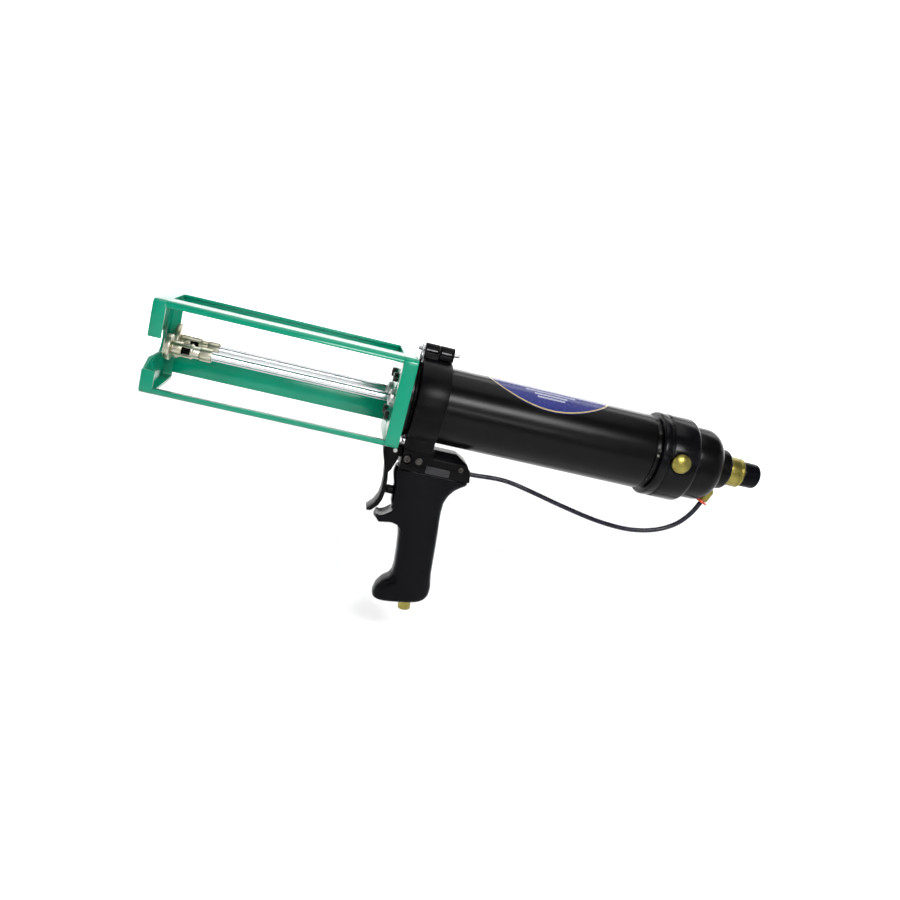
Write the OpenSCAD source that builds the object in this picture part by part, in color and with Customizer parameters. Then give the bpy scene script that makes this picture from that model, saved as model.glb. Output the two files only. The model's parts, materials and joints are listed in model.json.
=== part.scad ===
// Air-powered twin-cartridge caulking gun.
// Origin: centre of the front plate's inner face, on the barrel axis.
// +X runs along the barrel to the rear, +Z is up, the open loading side is -Y.

/* [Carriage] */
// Inside length of the cartridge bay, front plate to rear plate
bay_l = 226; // [200:1:260]
// Outside width of the carriage
carriage_w = 88; // [84:1:104]
// Outside height of the carriage
carriage_h = 87; // [84:1:100]
// Thickness of the pressed steel plates
plate_t = 3; // [2:0.5:3.5]
// Width of the top rail on the loading side
top_rail_w = 26; // [16:1:30]
// Width of the bottom rail on the loading side
bottom_rail_w = 20; // [14:1:26]
// Depth of the front plate's flange, from its inner face
front_flange = 9; // [6:1:14]
// Depth of the rear plate's flange, from its rear face
rear_flange = 10.5; // [8:0.5:16]
// Height of the top back strip
top_strip_h = 14; // [8:1:20]
// Height of the lower back stop that the cartridge leans on
stop_h = 20; // [14:1:26]
// Height of the lower back stop above the carriage's base
stop_lift = 7.5; // [4:0.5:12]
// Outer corner radius of the carriage
corner_r = 6; // [4:0.5:8]

/* [Nozzle slot] */
// Half height of the slot that takes the cartridge outlets
slot_r = 11; // [8:0.5:14]
// Distance from the loading side to the slot's rounded end
slot_reach = 68; // [50:1:74]
// Height of the slot's centre above the barrel axis
slot_z = -2; // [-4:0.5:2]
// Extra height of the slanted lead-in at the slot's mouth
lead_in = 8; // [4:0.5:12]

/* [Barrel] */
// Outside diameter of the barrel tube
barrel_d = 76; // [72:1:80]
// Wall of the barrel tube
barrel_wall = 3.4; // [2:0.2:4.4]
// Length of the barrel tube
barrel_l = 241; // [225:1:280]
// Thickness of the front head's visible flange
head_t = 17; // [14:1:22]
// Outside diameter of the front head's flange
head_d = 80; // [78:0.5:81]
// Length of the front head's spigot inside the tube
spigot_l = 16; // [12:1:20]
// Clearance between the spigots and the tube
spigot_gap = 0.1; // [0.05:0.05:0.2]

/* [Rods and discs] */
// Distance between the two push rods
rod_pitch = 44; // [40:1:48]
// Diameter of the push rods
rod_d = 8; // [6:0.5:10]
// Stroke of the piston
stroke = 164; // [140:1:164]
// Diameter of the small push disc
near_disc_d = 24; // [20:1:30]
// Diameter of the large push disc
far_disc_d = 34; // [26:1:38]
// Thickness of the push discs
disc_t = 6; // [4:0.5:8]
// Distance from the front plate to the discs with the rods run out
disc_x = 10; // [6:1:14]
// Outside diameter of the quick couplers
coupler_d = 14; // [12:0.5:16]
// Outside diameter of the couplers' lock sleeves
sleeve_d = 12.6; // [11:0.2:14]
// Travel of a lock sleeve
sleeve_travel = 4; // [2:0.5:5]
// Radial running clearance of sliding and turning fits
run_gap = 0.05; // [0.02:0.01:0.1]

/* [Clamp] */
// Width of the band clamp along the barrel
clamp_w = 29; // [22:1:34]
// Thickness of the band clamp
clamp_t = 4.9; // [3.5:0.1:6]
// Height of the hinge pin above the clamp's band
hinge_h = 6.95; // [5.95:0.5:8.95]
// Diameter of the hinge pin
hinge_pin_d = 4; // [3:0.5:5]

/* [Rear end] */
// Outside diameter of the end cap
cap_d = 85; // [80:1:90]
// Length of the end cap's ring
cap_l = 40; // [34:1:46]
// Outside diameter of the regulator housing
regulator_d = 73; // [66:1:78]
// Length of the regulator housing
regulator_l = 32; // [28:1:38]
// Diameter of the hub behind the regulator housing
hub_d = 41; // [36:1:46]
// Length of the hub
hub_l = 14; // [12:1:18]
// Diameter of the brass bonnet nut
bonnet_d = 30; // [26:1:32]
// Length of the brass bonnet nut
bonnet_l = 16; // [12:1:20]
// Diameter of the regulator knob
knob_d = 25.6; // [22:0.2:29]
// Length of the regulator knob
knob_l = 19; // [15:1:24]
// Diameter of the relief button's dome
button_d = 19; // [16:0.5:21]
// Travel of the relief button
button_travel = 3; // [2:0.5:4]

/* [Handle] */
// Width of the valve block
block_w = 32; // [28:1:36]
// Gap between the clamp's band and the top of the valve block
block_gap = 0.95; // [0.45:0.1:2.95]
// Height of the valve block, from its top to the seam with the grip
block_h = 24; // [20:1:28]
// Length of the valve block
block_l = 71.5; // [66:0.5:78]
// Thickness of the grip
grip_t = 31; // [26:1:36]
// Height of the grip, from the seam to its foot
grip_h = 140; // [128:1:152]
// Rake of the grip's base and of the air inlet, in degrees
grip_rake = 8; // [4:0.5:10]
// Outside diameter of the inlet thread
inlet_d = 13.16; // [9.73, 13.16, 16.66]
// Bore of the air inlet
inlet_bore = 8; // [6:0.5:9]
// Width of the trigger
trigger_w = 19; // [16:0.5:22]
// Diameter of the trigger's pivot pin
trigger_pin_d = 4; // [3:0.5:5]
// Height of the valve plunger below the seam
plunger_drop = 27.5; // [24:0.5:31]
// Diameter of the valve plunger
plunger_d = 9; // [7:0.5:11]
// Travel of the valve plunger
plunger_travel = 5.6; // [4:0.1:5.6]

/* [Hose] */
// Outside diameter of the air hose
hose_d = 4.8; // [4:0.1:6]

/* [Hidden] */
$fn = 96;
cut = 1;
half_w = carriage_w / 2;
half_h = carriage_h / 2;
barrel_r = barrel_d / 2;
bore_r = barrel_r - barrel_wall;
spigot_r = bore_r - spigot_gap;
rod_y = rod_pitch / 2;

// Stations along the barrel axis
rear_plate_x = bay_l;
head_x = rear_plate_x + plate_t;
barrel_x = head_x + head_t;
spigot_x = barrel_x + spigot_l;
barrel_end = barrel_x + barrel_l;
neck_l = 4;
cap_x = barrel_end + neck_l;
cap_end = cap_x + cap_l;
regulator_end = cap_end + regulator_l;
hub_end = regulator_end + hub_l;
bonnet_end = hub_end + bonnet_l;
knob_end = bonnet_end + knob_l;
knob_gap = 0.4;

// Seals
ring_d = 2.6;

// Piston stack
bumper_t = 2.5;
piston_x = spigot_x + bumper_t + 0.3;
plate_l = 6;
cup_l = 7;
nut_l = 6;
piston_end = piston_x + 2 * plate_l + cup_l;
cap_spigot_l = barrel_end - piston_end - nut_l - 1 - stroke - 0.5;

// Couplers
coupler_l = 26;
coupler_x = disc_x + disc_t;
coupler_end = coupler_x + coupler_l;
neck_r = 4.9;
sleeve_x = coupler_end + 0.3;
sleeve_l = 11;
stub_d = 9;

// Glands and carriage screws
gland_d = 16;
gland_nose = 4.4;
gland_l = 9;
bush_l = 12;
bush_d = 12;
seal_l = 4;
screw_y = 15;
screw_z = 19;
screw_d = 5;
screw_head_d = 9;
screw_head_h = 4;

// Clamp
clamp_x = barrel_x + 0.5;
clamp_gap = 0.15;
clamp_in = barrel_r + clamp_gap;
clamp_out = clamp_in + clamp_t;
hinge_z = clamp_out + hinge_h;

// Heights of the handle, which hangs from the clamp's band
block_top = clamp_out + block_gap;
block_base = block_top + block_h;
grip_base = block_base + grip_h;
plunger_z = block_base + plunger_drop;
split_gap = 0.6;
foot_y = 27;
foot_top = barrel_r - 10;
lug_r = 6.5;
knuckle_gap = 0.3;

screw_grip = 14;
screw_key = 4;
hole_gap = 0.02;
ring_gap = 0.04;
slide_gap = 0.09;
tab_x = barrel_x - 2.4;
tab_t = 1.6;
tab_gap = 2.8;
label_t = 0.2;
label_l = 127;
label_w = 62;
label_x = barrel_x + 129.5;
cap_groove_x = barrel_end - 12;
sleeve_web = 3.2;
sleeve_wire = 0.8;
shoulder_x = sleeve_x + sleeve_web + sleeve_travel + 3 * sleeve_wire;
stub_l = 9;
rod_x = coupler_x + stub_l + 0.2;
window_x = 9.6;
window_l = 8;
window_h = 7;
clamp_mid = clamp_x + clamp_w / 2;
clamp_screw_y = 10;
clamp_thread = 5.5;
clamp_head_z = block_base - 8;
foot_screw_y = 24.2;
foot_screw_z = 6.4 - block_top;
foot_screw_l = 10;
foot_screw_d = 3;
foot_head_r = 3.8;
pin_out = 6;
seat_l = 5;
seat_r = 18;
hub_spigot_r = 16;
hub_spigot_l = 10;
spring_bore_r = 10;
adjuster_r = 4;
plate_x = regulator_end - 4;
elbow_stem_r = 4;
button_stem_r = 3;
button_stem_end = 27;
socket_screw_x = barrel_x + 8.2;
socket_screw_z = 10.4 - block_base;
cheese_screw_x = barrel_x + 20;
cheese_screw_z = 11 - block_base;
plug_x = barrel_x + 63;
plug_z = cheese_screw_z;
nameplate_x = barrel_x + 28.5;
nameplate_l = 24;
nameplate_h = 7.5;
nameplate_t = 0.8;
inlet_root_r = 6;

// Relief button and hose elbow
button_x = cap_x + 20;
button_z = 3.5;
button_seat = 36;
button_skirt = 3.6;
elbow_x = regulator_end + 1.5;
elbow_y = -9;
elbow_z = -24.5;
elbow_r = 4.6;
port_tilt = 21;
port_l = 10;
collar_travel = 0.8;
collar_t = 2;
collar_r = 5.8;
sleeve_wall = 1;

// Valve block, trigger and grip
block_x = barrel_x + 3;
block_end = block_x + block_l;
block_half = block_w / 2;
bevel = 8;
nose_half = 6.5;
nose_r = 6;
pivot_x = block_x - 7.5;
pivot_z = -block_top - 8.8;
cheek_t = 2.4;
trigger_half = trigger_w / 2;
grip_front = block_x - 2.8;
stem_l = 34;
plunger_x = pivot_x + 0.7;
valve_depth = plunger_x + stem_l + plunger_travel + 9.4 - grip_front;
inlet_x = block_x + 41;
inlet_out = 11;
inlet_in = 12;
fitting_l = 12;
fitting_r = 4;
fitting_z = 6 - block_base;
fitting_y = -3;

// Air hose: its centre line from the valve block to the elbow
hose_route = [
    [312.5, -3, -62], [320, -3, -62], [328, -3, -61.8], [336, -3, -61.2],
    [345, -4, -60.4], [356, -4, -60.4], [368, -4, -61.8], [381, -5, -64.2],
    [395, -5, -67.2], [409, -5, -70.4], [423, -5, -73.4], [437, -5, -76.2],
    [451, -5, -78.8], [465, -5, -80.8], [479, -5, -82], [493, -5.4, -82.2],
    [506, -6, -80.8], [518, -6.6, -78], [528.4, -7.2, -74],
    [536.8, -7.8, -69.2], [543.6, -8.4, -63.8], [549, -8.8, -57.6],
    [553.2, -9, -51.4], [556.4, -9, -45.4], [558.6, -9, -40],
    [560.1, -9, -36], [561.6, -9, -32], [563, -9, -28.4]
];

// ---------- shared shapes ----------

// A cylinder along X from x0 to x1
module rod_along_x(x0, x1, r) {
    translate([x0, 0, 0])
        rotate([0, 90, 0])
            cylinder(h = x1 - x0, r = r);
}

// A tube along X from x0 to x1
module tube_along_x(x0, x1, r_out, r_in) {
    difference() {
        rod_along_x(x0, x1, r_out);
        rod_along_x(x0 - cut, x1 + cut, r_in);
    }
}

// A cylinder along Y from y0 to y1
module rod_along_y(y0, y1, r) {
    translate([0, y1, 0])
        rotate([90, 0, 0])
            cylinder(h = y1 - y0, r = r);
}

// A turned piece about the X axis; its outline is a list of [x, radius]
module turned(outline) {
    rotate([0, 90, 0])
        rotate_extrude()
            polygon([for (p = outline) [p[1], p[0]]]);
}

// A ring of round section about the X axis
module o_ring(x, r_mid, d) {
    translate([x, 0, 0])
        rotate([0, 90, 0])
            rotate_extrude()
                translate([r_mid, 0])
                    circle(d = d, $fn = 32);
}

// Points of an arc, from angle a0 to a1, as [x, y] about a centre
function arc(cx, cy, r, a0, a1, n) =
    [for (i = [0:n]) [cx + r * cos(a0 + (a1 - a0) * i / n),
                      cy + r * sin(a0 + (a1 - a0) * i / n)]];

// A square with round corners, centred, as an exact outline
module round_rect(w, h, r) {
    polygon(concat(
        arc(w / 2 - r, h / 2 - r, r, 0, 90, 8),
        arc(-w / 2 + r, h / 2 - r, r, 90, 180, 8),
        arc(-w / 2 + r, -h / 2 + r, r, 180, 270, 8),
        arc(w / 2 - r, -h / 2 + r, r, 270, 360, 8)));
}

// A slab across the barrel axis, from x0 to x1, of a section drawn in Y, Z
module slab(x0, x1) {
    translate([x0, 0, 0])
        rotate([90, 0, 90])
            linear_extrude(height = x1 - x0)
                children();
}

// A slab along Y, from y0 to y1, of a section drawn in X, Z
module side_slab(y0, y1) {
    translate([0, y1, 0])
        rotate([90, 0, 0])
            linear_extrude(height = y1 - y0)
                children();
}

// Two copies, one on each push rod's line
module at_both_rods() {
    for (side = [-1, 1])
        translate([0, side * rod_y, 0])
            children();
}

// A closed coil of round wire along X, drawn as touching rings
module spring_rings(x0, x1, r_mid, wire, turns) {
    for (i = [0:turns - 1])
        o_ring(x0 + wire / 2 + (x1 - x0 - wire) * i / (turns - 1), r_mid, wire);
}

// ---------- carriage ----------

// Outline of the slot: mouth at the loading side, rounded inner end
module slot_outline() {
    end_y = -half_w + slot_reach - slot_r;
    mouth_y = -half_w + plate_t;
    union() {
        translate([end_y, slot_z])
            circle(r = slot_r);
        polygon([
            [-half_w - cut, slot_z - slot_r - lead_in],
            [mouth_y, slot_z - slot_r - lead_in],
            [mouth_y + 2 * lead_in, slot_z - slot_r],
            [end_y, slot_z - slot_r],
            [end_y, slot_z + slot_r],
            [-half_w - cut, slot_z + slot_r]
        ]);
    }
}

// The folded wall that runs round the carriage, from x0 to x1
module folded_wall(x0, x1) {
    difference() {
        slab(x0, x1)
            round_rect(carriage_w, carriage_h, corner_r);
        slab(x0 - cut, x1 + cut)
            round_rect(carriage_w - 2 * plate_t, carriage_h - 2 * plate_t,
                       corner_r - plate_t);
    }
}

// One rail: the part of the folded wall inside a window in Y and Z
module rail(y0, y1, z0, z1) {
    intersection() {
        folded_wall(front_flange, bay_l);
        translate([0, y0, z0])
            cube([bay_l, y1 - y0, z1 - z0]);
    }
}

module front_plate() {
    color("seagreen")
        difference() {
            union() {
                slab(-plate_t, 0)
                    round_rect(carriage_w, carriage_h, corner_r);
                folded_wall(0, front_flange);
            }
            slab(-plate_t - cut, front_flange + cut)
                slot_outline();
        }
}

module rear_plate() {
    color("seagreen")
        difference() {
            union() {
                slab(rear_plate_x, head_x)
                    round_rect(carriage_w, carriage_h, corner_r);
                folded_wall(head_x, head_x + rear_flange);
            }
            at_both_rods()
                rod_along_x(rear_plate_x - cut, head_x + cut,
                            gland_d / 2 + 0.5);
            at_screws()
                rod_along_x(rear_plate_x - cut, head_x + cut,
                            screw_d / 2 + 0.3);
        }
}

// Four copies, one at each carriage screw
module at_screws() {
    for (y = [-screw_y, screw_y], z = [-screw_z, screw_z])
        translate([0, y, z])
            children();
}

module top_near_rail() {
    color("seagreen")
        rail(-half_w - cut, -half_w + top_rail_w, half_h - corner_r, half_h + cut);
}

module top_far_rail() {
    color("seagreen")
        rail(half_w - corner_r, half_w + cut, half_h - top_strip_h, half_h + cut);
}

module bottom_near_rail() {
    color("seagreen")
        rail(-half_w - cut, -half_w + bottom_rail_w,
             -half_h - cut, -half_h + corner_r);
}

module bottom_far_rail() {
    color("seagreen")
        translate([front_flange, half_w - plate_t, -half_h + stop_lift])
            cube([bay_l - front_flange, plate_t, stop_h]);
}

module carriage_screws() {
    color("dimgray")
        at_screws()
            difference() {
                union() {
                    rod_along_x(rear_plate_x - screw_head_h, rear_plate_x,
                                screw_head_d / 2);
                    rod_along_x(rear_plate_x, head_x + screw_grip, screw_d / 2);
                }
                rod_along_x(rear_plate_x - screw_head_h - cut,
                            rear_plate_x - screw_head_h + 2, screw_key / 2, $fn = 6);
            }
}

// ---------- front head and barrel ----------

module front_head() {
    groove_x = barrel_x + 8;
    groove_r = bore_r - ring_d - ring_gap;
    flange_end = barrel_x - tab_gap;
    color("black")
        difference() {
            turned([
                [head_x, 0], [head_x, head_d / 2 - 1], [head_x + 1, head_d / 2],
                [flange_end - 1, head_d / 2], [flange_end, head_d / 2 - 1],
                [flange_end, barrel_r - 0.4], [barrel_x, barrel_r - 0.4],
                [barrel_x, spigot_r], [groove_x, spigot_r],
                [groove_x, groove_r], [groove_x + ring_d + 0.3, groove_r],
                [groove_x + ring_d + 0.3, spigot_r],
                [spigot_x, spigot_r], [spigot_x, 0]
            ]);
            at_both_rods() {
                rod_along_x(head_x - cut, head_x + gland_l,
                            gland_d / 2 + hole_gap);
                rod_along_x(head_x, head_x + gland_l + seal_l + bush_l,
                            bush_d / 2 + hole_gap);
                rod_along_x(head_x, spigot_x + cut, rod_d / 2 + 0.5);
            }
            at_screws()
                rod_along_x(head_x - cut, head_x + screw_grip + 1,
                            screw_d / 2 + hole_gap);
        }
}

module barrel_o_rings() {
    color("black") {
        o_ring(barrel_x + 8 + ring_d / 2 + 0.15, bore_r - ring_d / 2 - ring_gap / 2,
               ring_d);
        o_ring(cap_groove_x + ring_d / 2 + 0.15, bore_r - ring_d / 2 - ring_gap / 2,
               ring_d);
    }
}

module rod_glands() {
    color("silver")
        at_both_rods()
            difference() {
                turned([
                    [rear_plate_x - gland_nose, 0],
                    [rear_plate_x - gland_nose, gland_d / 2 - 1],
                    [rear_plate_x - gland_nose + 1, gland_d / 2],
                    [head_x + gland_l, gland_d / 2], [head_x + gland_l, 0]
                ]);
                rod_along_x(rear_plate_x - gland_nose - cut,
                            head_x + gland_l + cut, rod_d / 2 + 0.3);
            }
}

module rod_seals() {
    color("black")
        at_both_rods()
            tube_along_x(head_x + gland_l, head_x + gland_l + seal_l,
                         bush_d / 2, rod_d / 2 + 0.03);
}

module rod_bushes() {
    color("goldenrod")
        at_both_rods()
            tube_along_x(head_x + gland_l + seal_l,
                         head_x + gland_l + seal_l + bush_l,
                         bush_d / 2, rod_d / 2 + run_gap);
}

module bumper_ring() {
    color("black")
        tube_along_x(spigot_x, spigot_x + bumper_t, spigot_r - 1,
                     rod_y + rod_d / 2 + 1);
}

module barrel() {
    edge = min(3, barrel_wall - 0.4);
    color("black")
        difference() {
            turned(concat(
                [[barrel_x, 0], [barrel_x, barrel_r - 0.6],
                 [barrel_x + 0.6, barrel_r]],
                [for (p = arc(barrel_end - edge, barrel_r - edge, edge, 90, 0, 8)) p],
                [[barrel_end, 0]]));
            rod_along_x(barrel_x - cut, barrel_end + cut, bore_r);
        }
}

module label() {
    color("mediumslateblue")
        intersection() {
            tube_along_x(barrel_x, barrel_end, barrel_r + label_t, barrel_r);
            translate([label_x, 0, 0])
                linear_extrude(height = barrel_d)
                    polygon([for (i = [0:63])
                        [label_l / 2 * cos(i * 5.625),
                         label_w / 2 * sin(i * 5.625)]]);
        }
}

// ---------- piston, rods and discs ----------

module piston_plate(x0) {
    difference() {
        turned([
            [x0, 0], [x0, bore_r - slide_gap - 0.8],
            [x0 + 0.8, bore_r - slide_gap],
            [x0 + plate_l - 0.8, bore_r - slide_gap],
            [x0 + plate_l, bore_r - slide_gap - 0.8], [x0 + plate_l, 0]
        ]);
        at_both_rods()
            rod_along_x(x0 - cut, x0 + plate_l + cut, rod_d / 2 + hole_gap);
    }
}

module piston_front_plate() {
    color("silver")
        piston_plate(piston_x);
}

module piston_cup() {
    x0 = piston_x + plate_l;
    lip = 1.5;
    color("black")
        difference() {
            turned([
                [x0, 0], [x0, bore_r - run_gap - lip],
                [x0 + lip, bore_r - run_gap],
                [x0 + cup_l - lip, bore_r - run_gap],
                [x0 + cup_l, bore_r - run_gap - lip], [x0 + cup_l, 0]
            ]);
            at_both_rods()
                rod_along_x(x0 - cut, x0 + cup_l + cut, rod_d / 2 + hole_gap);
        }
}

module piston_back_plate() {
    color("silver")
        piston_plate(piston_x + plate_l + cup_l);
}

// A push rod with the small shoulder that holds its sleeve's spring
module push_rod() {
    rod_along_x(rod_x, piston_end + nut_l + 1, rod_d / 2);
    rod_along_x(shoulder_x, shoulder_x + 1, rod_d / 2 + 1.2);
}

module near_rod() {
    color("gainsboro")
        translate([0, -rod_y, 0])
            push_rod();
}

module far_rod() {
    color("gainsboro")
        translate([0, rod_y, 0])
            push_rod();
}

module rod_nuts() {
    color("silver")
        at_both_rods()
            difference() {
                rod_along_x(piston_end, piston_end + nut_l, rod_d * 0.9, $fn = 6);
                rod_along_x(piston_end - cut, piston_end + nut_l + cut,
                            rod_d / 2 + hole_gap);
            }
}

// A push disc with the stub that plugs into its coupler
module push_disc(d) {
    turned([
        [disc_x, 0], [disc_x, d / 2 - 1.2], [disc_x + 1.2, d / 2],
        [disc_x + disc_t - 0.8, d / 2], [disc_x + disc_t, d / 2 - 0.8],
        [disc_x + disc_t, stub_d / 2], [disc_x + disc_t + stub_l, stub_d / 2],
        [disc_x + disc_t + stub_l, 0]
    ]);
}

module near_disc() {
    color("khaki")
        translate([0, -rod_y, 0])
            push_disc(near_disc_d);
}

module far_disc() {
    color("khaki")
        translate([0, rod_y, 0])
            push_disc(far_disc_d);
}

// A quick coupler: socket for the disc's stub, two windows, rod at the back
module coupler() {
    mid = coupler_x + window_x;
    difference() {
        turned([
            [coupler_x, 0], [coupler_x, coupler_d / 2 - 1],
            [coupler_x + 1, coupler_d / 2],
            [coupler_end - 7, coupler_d / 2], [coupler_end - 5, neck_r + 0.6],
            [coupler_end, neck_r + 0.6], [coupler_end, 0]
        ]);
        rod_along_x(coupler_x - cut, rod_x,
                    stub_d / 2 + hole_gap);
        rod_along_x(rod_x, coupler_end + cut, rod_d / 2 + hole_gap);
        translate([mid, -coupler_d, -window_h / 2])
            cube([window_l, 2 * coupler_d, window_h]);
        translate([mid, -window_h / 2, -coupler_d])
            cube([window_l, window_h, 2 * coupler_d]);
    }
}

module near_coupler() {
    color("silver")
        translate([0, -rod_y, 0])
            coupler();
}

module far_coupler() {
    color("silver")
        translate([0, rod_y, 0])
            coupler();
}

// A lock sleeve that slides back on the rod against its spring
module lock_sleeve() {
    difference() {
        turned([
            [sleeve_x, 0], [sleeve_x, sleeve_d / 2 - 0.6],
            [sleeve_x + 0.6, sleeve_d / 2],
            [sleeve_x + sleeve_l - 0.6, sleeve_d / 2],
            [sleeve_x + sleeve_l, sleeve_d / 2 - 0.6], [sleeve_x + sleeve_l, 0]
        ]);
        rod_along_x(sleeve_x - cut, sleeve_x + sleeve_l + cut,
                    rod_d / 2 + run_gap);
        rod_along_x(sleeve_x + sleeve_web, sleeve_x + sleeve_l + cut,
                    rod_d / 2 + 1.6);
    }
}

module near_lock_sleeve() {
    color("silver")
        translate([0, -rod_y, 0])
            lock_sleeve();
}

module far_lock_sleeve() {
    color("silver")
        translate([0, rod_y, 0])
            lock_sleeve();
}

module sleeve_spring() {
    spring_rings(sleeve_x + sleeve_web, shoulder_x,
                 rod_d / 2 + sleeve_wire / 2 + 0.35, sleeve_wire, 3);
}

module near_sleeve_spring() {
    color("silver")
        translate([0, -rod_y, 0])
            sleeve_spring();
}

module far_sleeve_spring() {
    color("silver")
        translate([0, rod_y, 0])
            sleeve_spring();
}

// ---------- clamp ----------

// One half of the band clamp; side is -1 on the loading side, 1 on the far one
module clamp_half(side, knuckle_x0, knuckle_x1) {
    x1 = clamp_x + clamp_w;
    difference() {
        union() {
            intersection() {
                rod_along_x(clamp_x, x1, clamp_out);
                half_space(side);
            }
            // foot that stands on the valve block
            intersection() {
                translate([clamp_x, -foot_y, -block_top])
                    cube([clamp_w, 2 * foot_y, block_top - foot_top]);
                half_space(side);
            }
            // hinge knuckle and the web that carries it
            translate([0, 0, hinge_z])
                rod_along_x(knuckle_x0, knuckle_x1, lug_r);
            translate([knuckle_x0, -lug_r, clamp_out + knuckle_gap])
                cube([knuckle_x1 - knuckle_x0, 2 * lug_r,
                      hinge_z - clamp_out - knuckle_gap]);
            intersection() {
                translate([knuckle_x0, -lug_r, clamp_in])
                    cube([knuckle_x1 - knuckle_x0, 2 * lug_r, hinge_z - clamp_in]);
                half_space(side);
            }
        }
        rod_along_x(clamp_x - cut, x1 + cut, clamp_in);
        // the knuckle clears the other half's band
        intersection() {
            rod_along_x(clamp_x - cut, x1 + cut, clamp_out + knuckle_gap);
            half_space(-side);
        }
        translate([0, 0, hinge_z])
            rod_along_x(clamp_x - cut, x1 + cut, hinge_pin_d / 2 + hole_gap);
        // slot that shows the pin on the loading side
        translate([knuckle_x0 + 1.5, -lug_r - cut, hinge_z - hinge_pin_d / 2])
            cube([knuckle_x1 - knuckle_x0 - 3, lug_r, hinge_pin_d]);
        translate([clamp_mid, side * clamp_screw_y, -block_top - cut])
            cylinder(h = cut + clamp_thread + 0.5, r = screw_d / 2 + hole_gap);
        translate([0, side * foot_screw_y, foot_screw_z])
            rod_along_x(clamp_x - cut, clamp_x + foot_screw_l + 0.5,
                        foot_screw_d / 2 + hole_gap);
    }
}

// Everything on one side of the clamp's split plane
module half_space(side) {
    size = 200;
    translate([clamp_x - size / 2, side > 0 ? split_gap / 2 : -size - split_gap / 2,
               -size / 2])
        cube([size, size, size]);
}

module clamp_near() {
    color("black")
        clamp_half(-1, clamp_x, clamp_mid - split_gap / 2);
}

module clamp_far() {
    color("black")
        clamp_half(1, clamp_mid + split_gap / 2, clamp_x + clamp_w);
}

module clamp_pin() {
    color("silver")
        translate([0, 0, hinge_z])
            turned([
                [clamp_x - pin_out, 0], [clamp_x - pin_out, hinge_pin_d / 2 - 0.5],
                [clamp_x - pin_out + 0.5, hinge_pin_d / 2],
                [clamp_x + clamp_w + pin_out - 0.5, hinge_pin_d / 2],
                [clamp_x + clamp_w + pin_out, hinge_pin_d / 2 - 0.5],
                [clamp_x + clamp_w + pin_out, 0]
            ]);
}

module clamp_screws() {
    color("dimgray")
        for (side = [-1, 1])
            translate([clamp_mid, side * clamp_screw_y, 0]) {
                translate([0, 0, -clamp_head_z])
                    cylinder(h = clamp_head_z - block_top + clamp_thread,
                             r = screw_d / 2);
                translate([0, 0, -clamp_head_z - 5])
                    cylinder(h = 5, r = 4.2);
            }
}

module foot_screws() {
    color("silver")
        for (side = [-1, 1])
            translate([0, side * foot_screw_y, foot_screw_z])
                difference() {
                    union() {
                        rod_along_x(clamp_x - 3, clamp_x, foot_head_r);
                        rod_along_x(clamp_x, clamp_x + foot_screw_l,
                                    foot_screw_d / 2);
                    }
                    translate([clamp_x - 3 - cut, -foot_head_r - cut, -0.5])
                        cube([cut + 1.2, 2 * foot_head_r + 2 * cut, 1]);
                }
}

// Small plated eye that hangs on the hinge pin, in front of the clamp
module eye_tab() {
    color("gainsboro")
        difference() {
            union() {
                translate([0, 0, hinge_z])
                    rod_along_x(tab_x, tab_x + tab_t, 4.5);
                translate([0, -3, hinge_z - 6])
                    rod_along_x(tab_x, tab_x + tab_t, 7);
            }
            rod_along_x(tab_x - cut, tab_x + tab_t + cut, barrel_r + 0.2);
            translate([0, 0, hinge_z])
                rod_along_x(tab_x - cut, tab_x + tab_t + cut,
                            hinge_pin_d / 2 + hole_gap);
            translate([0, -3, hinge_z - 7.5])
                rod_along_x(tab_x - cut, tab_x + tab_t + cut, 2);
        }
}

// ---------- end cap and regulator ----------

module end_cap() {
    r = cap_d / 2;
    ring_l = 8.5;
    groove_r = bore_r - ring_d - ring_gap;
    color("black")
        difference() {
            turned(concat(
                [[barrel_end - cap_spigot_l, 0], [barrel_end - cap_spigot_l, spigot_r],
                 [cap_groove_x, spigot_r], [cap_groove_x, groove_r],
                 [cap_groove_x + ring_d + 0.3, groove_r],
                 [cap_groove_x + ring_d + 0.3, spigot_r],
                 [barrel_end, spigot_r], [barrel_end, bore_r + 0.8],
                 [cap_x, bore_r + 0.8]],
                arc(cap_x + 3, r - 3, 3, 180, 90, 5),
                [[cap_x + ring_l, r], [cap_x + ring_l + 0.6, r - 1.6],
                 [cap_x + ring_l + 1.8, r - 1.6], [cap_x + ring_l + 2.4, r]],
                arc(cap_end - 6, r - 6, 6, 90, 0, 8),
                [[cap_end, 0]]));
            // hollow spigot that holds the exhaust passage
            rod_along_x(barrel_end - cap_spigot_l - cut, cap_x + 6, 24);
            rod_along_x(cap_x, cap_end + cut, 4);
            rod_along_x(cap_end - seat_l, cap_end + cut, seat_r + hole_gap);
            // counterbore and stem bore of the relief button
            translate([button_x, 0, button_z]) {
                rod_along_y(-r - cut, -button_seat, button_d / 2 + 0.3);
                rod_along_y(-r - cut, -button_stem_end + button_travel + 1,
                            button_stem_r + run_gap);
            }
        }
}

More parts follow.
